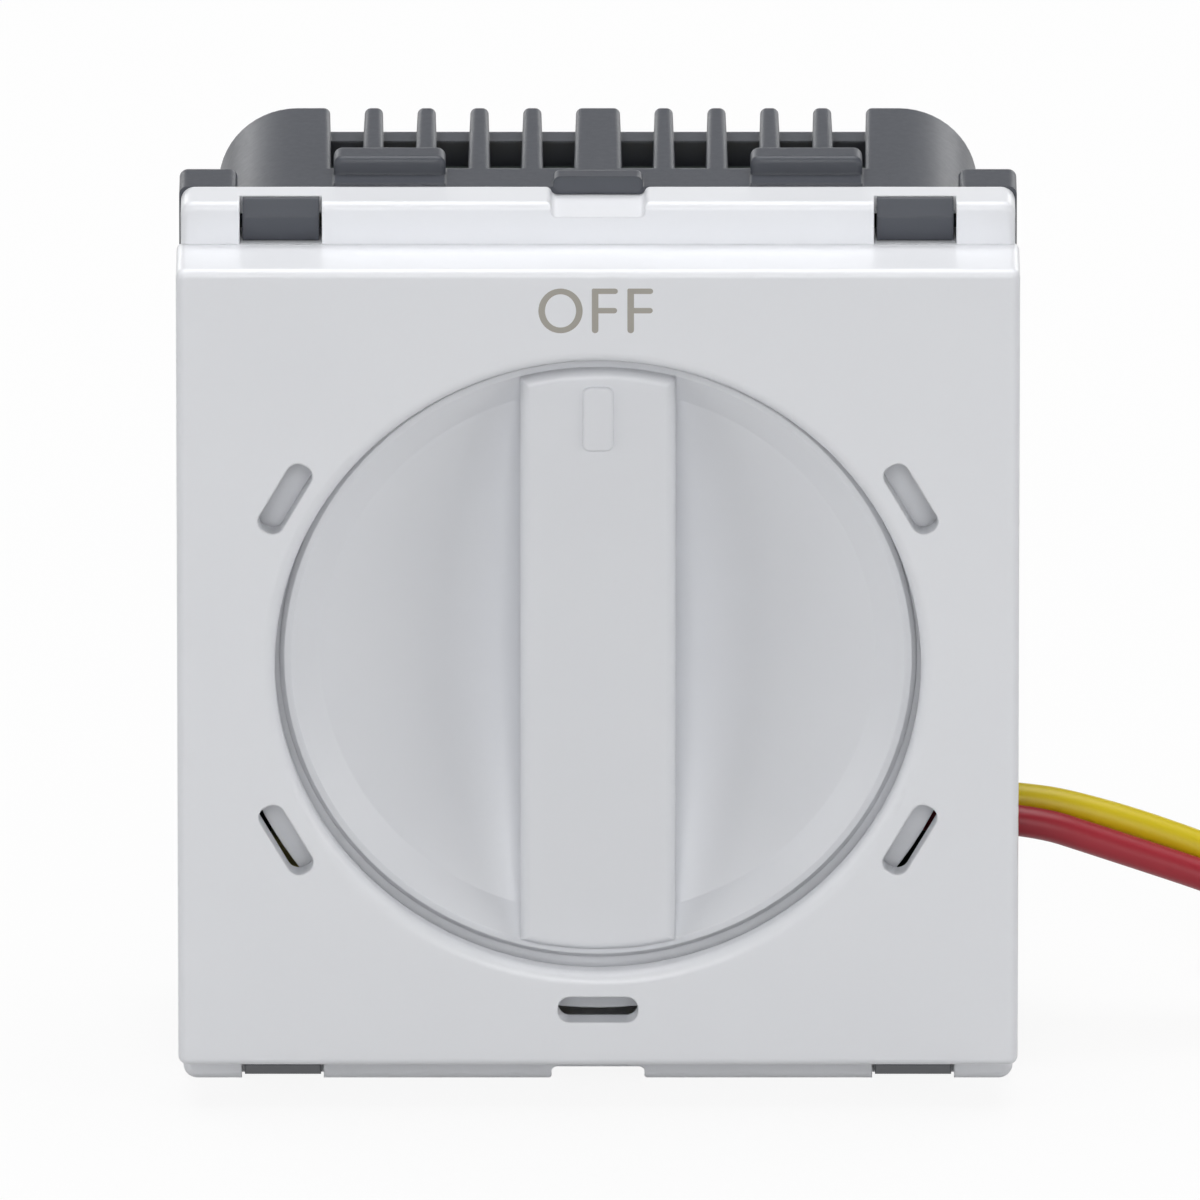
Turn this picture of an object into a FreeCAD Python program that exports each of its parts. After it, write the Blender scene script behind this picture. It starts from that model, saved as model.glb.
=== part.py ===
import FreeCAD, Part
import math
import os
import re
import Sketcher
from FreeCAD import Placement, Rotation, Vector

# Fan speed control switch of the snap-in module kind, in millimetres.
# Every piece is drawn about the dial: X to the right, Y backwards from the front face, Z up from the dial's axis.
# A last placement then moves each piece so that the origin is the middle of the base that the switch stands on.

SIZES = {
    # front cover
    "face_size": 45.05,
    "bezel_depth": 4.4,
    "flange_rise": 2.325,
    "flange_inset": 0.225,
    "flange_depth": 2.8,
    "plate_wall": 1.3,
    "cover_wall": 1.2,
    "edge_round": 0.45,
    "face_corner": 0.5,
    "flange_corner": 0.75,
    "opening_margin": 5.225,
    "opening_round": 0.65,
    "window_rim": 2.0,
    "window_length": 4.3,
    "window_width": 1.45,
    "window_step": 60.0,
    "latch_inset": 5.575,
    "latch_slot_width": 4.4,
    "latch_slot_depth": 1.3,
    "latch_bridge": 1.0,
    "notch_width": 5.0,
    "notch_slope": 0.6,
    "notch_depth": 0.77,
    "notch_climb": 0.35,
    # rear housing
    "housing_inset": 2.125,
    "housing_depth": 13.7,
    "housing_corner": 4.25,
    "housing_round": 0.4,
    "side_wall": 1.6,
    "rear_wall": 1.6,
    "top_wall": 1.45,
    "lug_depth": 3.0,
    "lug_bite": 1.1,
    "lug_overhang": 0.1,
    "comb_margin": 1.75,
    "middle_fin": 2.36,
    "fin_width": 0.98,
    "slot_draft": 0.26,
    "slot_start": 3.16,
    "fin_round": 0.34,
    "ledge_width": 6.0,
    "ledge_inset": 5.8,
    "ledge_start": 1.6,
    "ledge_depth": 1.66,
    "ledge_height": 1.13,
    "ledge_corner": 0.5,
    "ledge_round": 0.28,
    "foot_height": 0.14,
    "tab_width": 4.8,
    "tab_reach": 0.05,
    "tab_back": 1.1,
    "tab_rise": 0.59,
    "tab_corner": 0.4,
    "hook_gap": 0.12,
    "hook_side_gap": 0.15,
    "hook_seat": 0.09,
    "hook_slope": 0.8,
    "hook_root": 1.8,
    "boss_radius": 2.2,
    "boss_height": 0.7,
    # knob
    "skirt_clearance": 1.275,
    "skirt_gap": 1.2,
    "skirt_wall": 1.1,
    "dial_gap": 0.25,
    "rim_land": 0.6,
    "rim_depth": 2.0,
    "rim_round": 0.25,
    "bowl_margin": 2.15,
    "bowl_edge_depth": 3.0,
    "bowl_depth": 6.1,
    "bowl_wall": 1.2,
    "bar_width": 8.3,
    "bar_end_gap": 0.6,
    "bar_depth": 1.3,
    "bar_round": 0.55,
    "bar_wall": 1.3,
    "pointer_width": 1.65,
    "pointer_length": 3.6,
    "pointer_inset": 2.7,
    "pointer_rise": 0.22,
    "pointer_corner": 0.4,
    "pointer_round": 0.14,
    "socket_wall": 0.85,
    # rotary switch
    "base_gap": 1.5,
    "base_plate": 1.2,
    "base_wall": 1.4,
    "base_corner": 1.5,
    "side_bay": 6.1,
    "knob_gap": 0.4,
    "shaft_radius": 3.0,
    "shaft_flat": 2.2,
    "shaft_fit": 0.05,
    "shaft_start": 3.5,
    "neck_radius": 4.0,
    "neck_fit": 0.05,
    "rotor_clearance": 2.2,
    "rotor_gap": 0.2,
    "rotor_wall": 3.0,
    "notch_radius": 1.2,
    "notch_offset": 0.5,
    "hub_gap": 0.1,
    "spring_thickness": 0.3,
    "spring_width": 2.4,
    "spring_lift": 0.75,
    "spring_dip": 1.3,
    "spring_dip_width": 2.2,
    "spring_slot": 0.2,
    "wiper_thickness": 0.3,
    "wiper_width": 2.4,
    "wiper_gap": 0.1,
    "stud_height": 0.55,
    "peg_radius": 0.8,
    "peg_inset": 1.8,
    # circuit board and what it carries
    "board_wall": 1.6,
    "board_gap": 0.7,
    "board_end_gap": 1.2,
    "hole_fit": 0.1,
    "leg_radius": 0.35,
    "leg_tail": 0.2,
    "capacitor_gap": 0.8,
    "capacitor_shortfall": 10.2,
    "capacitor_leg_inset": 1.75,
    "capacitor_edge": 0.5,
    "capacitor_round": 0.6,
    "resistor_inset": 3.0,
    "resistor_gap": 1.0,
    "resistor_stagger": 2.0,
    "series_radius": 1.5,
    "series_leg_run": 1.5,
    "bleed_radius": 1.1,
    "bleed_leg_run": 1.0,
    "bleed_shortfall": 5.0,
    "part_lift": 0.3,
    "screw_inset": 2.5,
    "screw_end_inset": 2.7,
    "screw_radius": 0.85,
    "screw_head": 1.9,
    "screw_head_height": 1.3,
    "screw_bite": 0.9,
    # leads and where they leave
    "lead_radius": 0.85,
    "lead_fit": 0.06,
    "tip_radius": 0.5,
    "tip_length": 6.0,
    "terminal_width": 1.8,
    "terminal_wall": 0.9,
    "yellow_inset": 2.5,
    "red_inset": 4.0,
    "yellow_lift": 1.9,
    "red_lift": 3.9,
    "yellow_rise": 12.5,
    "red_rise": 12.05,
    "grommet_margin": 0.6,
    "grommet_lip": 0.5,
    "grommet_lip_wall": 0.6,
    "grommet_corner": 0.9,
    "grommet_fit": 0.05,
}

# Sizes that follow from the others.
DERIVED = {
    "flange_height": "face_size + 2 * flange_rise",
    "flange_width": "face_size - 2 * flange_inset",
    "cover_depth": "bezel_depth + flange_depth",
    "overall_depth": "cover_depth + housing_depth",
    "bezel_inner": "face_size - 2 * cover_wall",
    "opening_radius": "face_size / 2 - opening_margin",
    "window_circle": "opening_radius + window_rim",
    "latch_spacing": "face_size - 2 * latch_inset",
    "slot_floor": "flange_height / 2 - latch_bridge",
    "housing_width": "face_size - 2 * housing_inset",
    "slot_tip": "(housing_width / 2 - housing_corner - comb_margin - middle_fin / 2 - 4 * fin_width) / 5",
    "slot_root": "slot_tip - slot_draft",
    "slot_pitch": "slot_tip + fin_width",
    "slot_first": "middle_fin / 2 + slot_tip / 2",
    "ledge_spacing": "latch_spacing - 2 * ledge_inset",
    "skirt_radius": "bezel_inner / 2 - skirt_clearance",
    "skirt_front": "plate_wall + skirt_gap",
    "skirt_back": "skirt_front + skirt_wall",
    "rim_radius": "opening_radius - dial_gap",
    "bowl_radius": "rim_radius - bowl_margin",
    "bowl_sphere": "(bowl_radius^2 + (bowl_depth - bowl_edge_depth)^2) / (2 * (bowl_depth - bowl_edge_depth))",
    "bowl_centre": "bowl_depth - bowl_sphere",
    "bowl_back": "bowl_sphere + bowl_wall",
    "bar_end_radius": "rim_radius - bar_end_gap",
    "pointer_centre": "bar_end_radius - pointer_inset",
    "board_width": "housing_width - 2 * side_wall - 2 * board_gap",
    "board_height": "flange_height - 2 * top_wall - 2 * board_end_gap",
    "board_front": "overall_depth - rear_wall - boss_height - board_wall",
    "base_front": "bowl_depth + bowl_wall + base_gap",
    "base_size": "board_width - 2 * side_bay",
    "base_bore": "base_size / 2 - base_wall",
    "peg_offset": "base_size / 2 - peg_inset",
    "rotor_radius": "base_bore - rotor_clearance",
    "rotor_front": "base_front + base_plate + rotor_gap",
    "rotor_back": "rotor_front + rotor_wall",
    "notch_circle": "rotor_radius + notch_offset",
    "hub_radius": "base_bore * 0.28",
    "hub_back": "board_front - hub_gap",
    "spring_length": "base_bore * 1.22",
    "spring_height": "rotor_radius + spring_lift",
    "stud_front": "board_front - stud_height",
    "stud_circle": "base_bore * 0.65",
    "stud_radius": "base_bore * 0.1",
    "wiper_ring": "base_bore * 0.43",
    "ring_inner": "base_bore * 0.37",
    "ring_outer": "base_bore * 0.5",
    "capacitor_width": "board_width - capacitor_shortfall",
    "capacitor_height": "board_height / 2 - base_size / 2 - 1.75 * capacitor_gap",
    "capacitor_depth": "board_front - base_front - capacitor_gap",
    "capacitor_pitch": "capacitor_width - 2 * capacitor_leg_inset",
    "capacitor_z": "base_size / 2 + capacitor_gap + capacitor_height / 2",
    "capacitor_low_x": "capacitor_width / 2 + capacitor_edge - board_width / 2",
    "resistor_x": "board_width / 2 - resistor_inset",
    "series_pitch": "base_size / 2 - resistor_gap",
    "series_length": "series_pitch - 2 * series_leg_run",
    "series_right_z": "base_size / 4",
    "series_left_z": "base_size / 4 - resistor_stagger",
    "bleed_pitch": "base_size / 2 - bleed_shortfall",
    "bleed_length": "bleed_pitch - 2 * bleed_leg_run",
    "bleed_right_z": "0.35 * resistor_stagger - base_size / 4",
    "bleed_left_z": "-0.65 * resistor_stagger - base_size / 4",
    "screw_x": "board_width / 2 - screw_inset",
    "screw_z": "board_height / 2 - screw_end_inset",
    "yellow_depth": "board_front - yellow_lift",
    "red_depth": "board_front - red_lift",
    "yellow_height": "flange_height / 2 - yellow_rise",
    "red_height": "flange_height / 2 - red_rise",
    "yellow_start": "housing_width / 2 - yellow_inset",
    "red_start": "housing_width / 2 - red_inset",
}

doc = FreeCAD.newDocument("fan_speed_control_switch")
sheet = doc.addObject("Spreadsheet::Sheet", "sizes")
for row, (alias, size) in enumerate({**SIZES, **DERIVED}.items(), start=1):
    sheet.set(f"A{row}", alias)
    sheet.set(f"B{row}", str(size) if alias in SIZES else f"={size}")
    sheet.setAlias(f"B{row}", alias)
doc.recompute()
ALIASES = re.compile(r"\b(" + "|".join({**SIZES, **DERIVED}) + r")\b")


# Helpers that tie drawing and features to the sheet


def value(text):
    return float(sheet.evalExpression(text))


def bind(thing, prop, text):
    thing.setExpression(prop, ALIASES.sub(r"sizes.\1", text))


def seat(thing, label):
    """Moves a finished piece from the dial's axis to the shared frame and names it."""
    thing.Label = label
    bind(thing, "Placement.Base.y", "-overall_depth / 2")
    bind(thing, "Placement.Base.z", "flange_height / 2")
    return thing


def new_body(name):
    return doc.addObject("PartDesign::Body", name)


def sketch(body, name, plane, offset="0", turn=None):
    drawn = body.newObject("Sketcher::SketchObject", name)
    planes = {item.Role: item for item in body.Origin.OriginFeatures}
    drawn.AttachmentSupport = [(planes[plane], "")]
    drawn.MapMode = "FlatFace"
    if turn:
        drawn.AttachmentOffset = Placement(Vector(), Rotation(Vector(0, 0, 1), value(turn)))
        bind(drawn, "AttachmentOffset.Rotation.Angle", turn)
    bind(drawn, "AttachmentOffset.Base.z", offset)
    return drawn


def front_sketch(body, name, depth="0", turn=None):
    """A sketch seen from the front, at a depth behind the front face."""
    return sketch(body, name, "XZ_Plane", f"-({depth})", turn)


def side_sketch(body, name, offset="0"):
    """A sketch seen from the right: its first axis is depth and its second is height."""
    return sketch(body, name, "YZ_Plane", offset)


def hold(drawn, kind, geometry, point, text):
    """Ties a point's distance from the sketch's origin to a size."""
    number = drawn.addConstraint(Sketcher.Constraint(kind, -1, 1, geometry, point, value(text)))
    bind(drawn, f"Constraints[{number}]", text)


def hold_radius(drawn, geometry, text):
    number = drawn.addConstraint(Sketcher.Constraint("Radius", geometry, value(text)))
    bind(drawn, f"Constraints[{number}]", text)


def outline(drawn, corners, arcs=None):
    """A closed outline. Each corner is held by its two distances.

    An arc is given by a point on it and, where its ends alone leave its centre free on the first axis, its radius.
    """
    arcs = arcs or {}
    spots = [Vector(value(x), value(y), 0) for x, y in corners]
    first = drawn.GeometryCount
    count = len(spots)
    for index, start in enumerate(spots):
        end = spots[(index + 1) % count]
        if index in arcs:
            middle = Vector(*(value(text) for text in arcs[index][:2]), 0)
            clockwise = (middle - start).cross(end - start).z < 0
            drawn.addGeometry(Part.Arc(end, middle, start) if clockwise else Part.Arc(start, middle, end))
        else:
            drawn.addGeometry(Part.LineSegment(start, end))
    ends = []
    for index, start in enumerate(spots):
        edge = drawn.Geometry[first + index]
        ahead = (edge.StartPoint - start).Length < (edge.EndPoint - start).Length
        ends.append((1, 2) if ahead else (2, 1))
    for index, (x, y) in enumerate(corners):
        following = (index + 1) % count
        join = Sketcher.Constraint(
            "Coincident", first + index, ends[index][1], first + following, ends[following][0]
        )
        drawn.addConstraint(join)
        hold(drawn, "DistanceX", first + index, ends[index][0], x)
        hold(drawn, "DistanceY", first + index, ends[index][0], y)
    for index, (_, _, *radius) in arcs.items():
        if radius:
            hold_radius(drawn, first + index, *radius)
        else:
            drawn.addConstraint(Sketcher.Constraint("PointOnObject", first + index, 3, -1))


def rectangle(drawn, left, low, right, high):
    outline(drawn, [(left, low), (right, low), (right, high), (left, high)])


def rounded_rectangle(drawn, left, low, right, high, radius):
    sides = [value(text) for text in (left, low, right, high)]
    corner = value(radius)
    x0, y0, x1, y1 = sides
    runs = [
        (Vector(x0 + corner, y0, 0), Vector(x1 - corner, y0, 0)),
        (Vector(x1, y0 + corner, 0), Vector(x1, y1 - corner, 0)),
        (Vector(x1 - corner, y1, 0), Vector(x0 + corner, y1, 0)),
        (Vector(x0, y1 - corner, 0), Vector(x0, y0 + corner, 0)),
    ]
    centres = [
        Vector(x1 - corner, y0 + corner, 0),
        Vector(x1 - corner, y1 - corner, 0),
        Vector(x0 + corner, y1 - corner, 0),
        Vector(x0 + corner, y0 + corner, 0),
    ]
    first = drawn.GeometryCount
    for index, (start, end) in enumerate(runs):
        drawn.addGeometry(Part.LineSegment(start, end))
        circle = Part.Circle(centres[index], Vector(0, 0, 1), corner)
        turn = (index - 1) * math.pi / 2
        drawn.addGeometry(Part.ArcOfCircle(circle, turn, turn + math.pi / 2))
    for index in range(4):
        line = first + 2 * index
        arc = line + 1
        following = first + (2 * index + 2) % 8
        drawn.addConstraint(Sketcher.Constraint("Tangent", line, 2, arc, 1))
        drawn.addConstraint(Sketcher.Constraint("Tangent", arc, 2, following, 1))
        if index:
            drawn.addConstraint(Sketcher.Constraint("Equal", first + 1, arc))
    drawn.addConstraint(Sketcher.Constraint("Horizontal", first))
    drawn.addConstraint(Sketcher.Constraint("Vertical", first + 2))
    hold_radius(drawn, first + 1, radius)
    hold(drawn, "DistanceY", first, 1, low)
    hold(drawn, "DistanceX", first + 2, 1, right)
    hold(drawn, "DistanceY", first + 4, 1, high)
    hold(drawn, "DistanceX", first + 6, 1, left)


def circle(drawn, x, y, radius):
    number = drawn.addGeometry(Part.Circle(Vector(value(x), value(y), 0), Vector(0, 0, 1), value(radius)))
    hold(drawn, "DistanceX", number, 3, x)
    hold(drawn, "DistanceY", number, 3, y)
    hold_radius(drawn, number, radius)


def flatted_circle(drawn, radius, flat):
    """A circle about the dial's axis with one flat at its right, as on a D shaft."""
    reach, across = value(radius), value(flat)
    angle = math.acos(across / reach)
    whole = Part.Circle(Vector(), Vector(0, 0, 1), reach)
    arc = drawn.addGeometry(Part.ArcOfCircle(whole, angle, 2 * math.pi - angle))
    rise = reach * math.sin(angle)
    line = drawn.addGeometry(Part.LineSegment(Vector(across, -rise, 0), Vector(across, rise, 0)))
    drawn.addConstraint(Sketcher.Constraint("Coincident", arc, 3, -1, 1))
    drawn.addConstraint(Sketcher.Constraint("Coincident", arc, 2, line, 1))
    drawn.addConstraint(Sketcher.Constraint("Coincident", line, 2, arc, 1))
    drawn.addConstraint(Sketcher.Constraint("Vertical", line))
    hold_radius(drawn, arc, radius)
    hold(drawn, "DistanceX", line, 1, flat)


def extrude(kind, body, name, drawn, length, flip):
    feature = body.newObject(f"PartDesign::{kind}", name)
    feature.Profile = drawn
    feature.Reversed = flip
    bind(feature, "Length", length)
    return feature


def pad_back(body, name, drawn, length):
    """Adds material from a front sketch towards the back."""
    return extrude("Pad", body, name, drawn, length, True)


def cut_back(body, name, drawn, length):
    """Cuts from a front sketch towards the back."""
    return extrude("Pocket", body, name, drawn, length, False)


def cut_forward(body, name, drawn, length):
    """Cuts from a front sketch towards the front."""
    return extrude("Pocket", body, name, drawn, length, True)


def pad_right(body, name, drawn, length):
    """Adds material from a side sketch towards the right."""
    return extrude("Pad", body, name, drawn, length, False)


def cut_right(body, name, drawn, length):
    """Cuts from a side sketch towards the right."""
    return extrude("Pocket", body, name, drawn, length, True)


def turned(body, name, drawn):
    """Revolves a side sketch about the dial's axis."""
    feature = body.newObject("PartDesign::Revolution", name)
    feature.Profile = drawn
    feature.ReferenceAxis = (drawn, ["H_Axis"])
    feature.Angle = 360
    return feature


def round_edges(body, name, radius, chosen):
    """Fillets the edges of the body so far that the test picks."""
    doc.recompute()
    base = body.Tip
    names = [f"Edge{number}" for number, edge in enumerate(base.Shape.Edges, start=1) if chosen(edge)]
    feature = body.newObject("PartDesign::Fillet", name)
    feature.Base = (base, names)
    bind(feature, "Radius", radius)
    return feature


def spread(edge):
    """The edge's box, as lows and highs along the three axes."""
    box = edge.BoundBox
    return (box.XMin, box.YMin, box.ZMin), (box.XMax, box.YMax, box.ZMax)


def near(first, second):
    return abs(first - second) < 1e-4


def at_depth(edge, depth):
    low, high = spread(edge)
    return near(low[1], depth) and near(high[1], depth)


def turn_copies(body, name, feature, drawn, angle, copies):
    pattern = body.newObject("PartDesign::PolarPattern", name)
    pattern.Originals = [feature]
    pattern.Axis = (drawn, ["N_Axis"])
    bind(pattern, "Angle", angle)
    pattern.Occurrences = copies
    body.Tip = pattern
    return pattern


def mirrored(body, name, feature, plane):
    planes = {item.Role: item for item in body.Origin.OriginFeatures}
    pattern = body.newObject("PartDesign::Mirrored", name)
    pattern.Originals = [feature]
    pattern.MirrorPlane = (planes[plane], [""])
    body.Tip = pattern
    return pattern


def rod(name, radius, length, x, y, z, axis):
    """A round bar that starts at a point and runs along an axis."""
    made = doc.addObject("Part::Cylinder", name)
    bind(made, "Radius", radius)
    bind(made, "Height", length)
    made.Placement = Placement(Vector(), Rotation(Vector(0, 0, 1), axis))
    for letter, text in zip("xyz", (x, y, z)):
        bind(made, f"Placement.Base.{letter}", text)
    return made


def block(name, sizes, corner):
    """A box from its three lengths and its lowest corner."""
    made = doc.addObject("Part::Box", name)
    for prop, text in zip(("Length", "Width", "Height"), sizes):
        bind(made, prop, text)
    for letter, text in zip("xyz", corner):
        bind(made, f"Placement.Base.{letter}", text)
    return made


def ball(name, radius, x, y, z):
    made = doc.addObject("Part::Sphere", name)
    bind(made, "Radius", radius)
    for letter, text in zip("xyz", (x, y, z)):
        bind(made, f"Placement.Base.{letter}", text)
    return made


def fused(name, pieces):
    made = doc.addObject("Part::MultiFuse", name)
    made.Shapes = pieces
    made.Refine = False
    return made


def cut(name, base, tool):
    made = doc.addObject("Part::Cut", name)
    made.Base = base
    made.Tool = tool
    made.Refine = False
    return made


def grouped(name, pieces):
    """Like pieces that stay separate solids in one node."""
    made = doc.addObject("Part::Compound", name)
    made.Links = pieces
    return made


BACK = Vector(0, 1, 0)
UP = Vector(0, 0, 1)
SIDES = {"left": -1, "right": 1}
ENDS = {"top": 1, "bottom": -1}


# The white cover: a square face over a wider flange, open at the back


def make_front_cover():
    body = new_body("front_cover")
    flange = front_sketch(body, "flange_outline", "bezel_depth")
    rounded_rectangle(
        flange, "-flange_width / 2", "-flange_height / 2", "flange_width / 2", "flange_height / 2", "flange_corner"
    )
    pad_back(body, "flange", flange, "flange_depth")
    flange_front = value("bezel_depth")
    round_edges(body, "flange_edge", "edge_round", lambda edge: at_depth(edge, flange_front))

    face = front_sketch(body, "face_outline")
    rounded_rectangle(
        face, "-face_size / 2", "-face_size / 2", "face_size / 2", "face_size / 2", "face_corner"
    )
    pad_back(body, "face", face, "bezel_depth + edge_round")
    round_edges(body, "face_edge", "edge_round", lambda edge: at_depth(edge, 0))

    cavity = front_sketch(body, "cavity_outline", "plate_wall")
    rounded_rectangle(
        cavity,
        "-bezel_inner / 2",
        "-bezel_inner / 2",
        "bezel_inner / 2",
        "bezel_inner / 2",
        "face_corner",
    )
    cut_back(body, "cavity", cavity, "cover_depth - plate_wall")

    opening = front_sketch(body, "dial_opening_outline")
    circle(opening, "0", "0", "opening_radius")
    cut_back(body, "dial_opening", opening, "plate_wall")
    radius = value("opening_radius")
    round_edges(
        body,
        "dial_opening_edge",
        "opening_round",
        lambda edge: at_depth(edge, 0) and near(edge.BoundBox.XMax, radius),
    )

    window = front_sketch(body, "window_outline", turn="window_step")
    rounded_rectangle(
        window,
        "-window_length / 2",
        "window_circle - window_width / 2",
        "window_length / 2",
        "window_circle + window_width / 2",
        "window_width * 0.45",
    )
    hole = cut_back(body, "window", window, "plate_wall")
    turn_copies(body, "windows", hole, window, "4 * window_step", 5)

    slots = front_sketch(body, "latch_slot_outline", "bezel_depth")
    tunnels = front_sketch(body, "latch_tunnel_outline", "bezel_depth + latch_slot_depth")
    for side in SIDES.values():
        left = f"{side} * latch_spacing / 2 - latch_slot_width / 2"
        right = f"{side} * latch_spacing / 2 + latch_slot_width / 2"
        for end in ENDS.values():
            near_edge = f"{end} * (face_size / 2 + 0.05)"
            lips = sorted([near_edge, f"{end} * flange_height / 2"], key=value)
            floors = sorted([near_edge, f"{end} * slot_floor"], key=value)
            rectangle(slots, left, lips[0], right, lips[1])
            rectangle(tunnels, left, floors[0], right, floors[1])
    cut_back(body, "latch_slots", slots, "latch_slot_depth")
    cut_back(body, "latch_tunnels", tunnels, "flange_depth - latch_slot_depth")

    for name, end in ENDS.items():
        front = front_sketch(body, f"{name}_notch_front", "bezel_depth")
        notch_outline(front, end, "notch_depth")
        back = front_sketch(body, f"{name}_notch_back", "cover_depth")
        notch_outline(back, end, "(notch_depth - notch_climb)")
        notch = body.newObject("PartDesign::SubtractiveLoft", f"{name}_notch")
        notch.Profile = front
        notch.Sections = [back]
        notch.Ruled = True
    return seat(body, "front_cover")


def notch_outline(drawn, end, depth):
    """The flange's centre notch: its floor meets the flange's edge in an S curve at each side."""
    lip = f"{end} * flange_height / 2"
    floor = f"{end} * (flange_height / 2 - {depth})"
    middle = f"{end} * (flange_height / 2 - {depth} / 2)"
    high = f"{end} * (flange_height / 2 - 0.1 * {depth})"
    low = f"{end} * (flange_height / 2 - 0.9 * {depth})"
    curve = f"(notch_slope^2 + {depth}^2) / (4 * {depth})"
    outline(
        drawn,
        [
            ("-notch_width / 2 - notch_slope / 2", lip),
            ("-notch_width / 2", middle),
            ("-notch_width / 2 + notch_slope / 2", floor),
            ("notch_width / 2 - notch_slope / 2", floor),
            ("notch_width / 2", middle),
            ("notch_width / 2 + notch_slope / 2", lip),
        ],
        arcs={
            0: ("-notch_width / 2 - notch_slope / 6", high, curve),
            1: ("-notch_width / 2 + notch_slope / 6", low, curve),
            3: ("notch_width / 2 - notch_slope / 6", low, curve),
            4: ("notch_width / 2 + notch_slope / 6", high, curve),
        },
    )


# The dark housing: a round-cornered box with a comb of vent fins, ledges, lugs and latch hooks in one moulding


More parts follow.
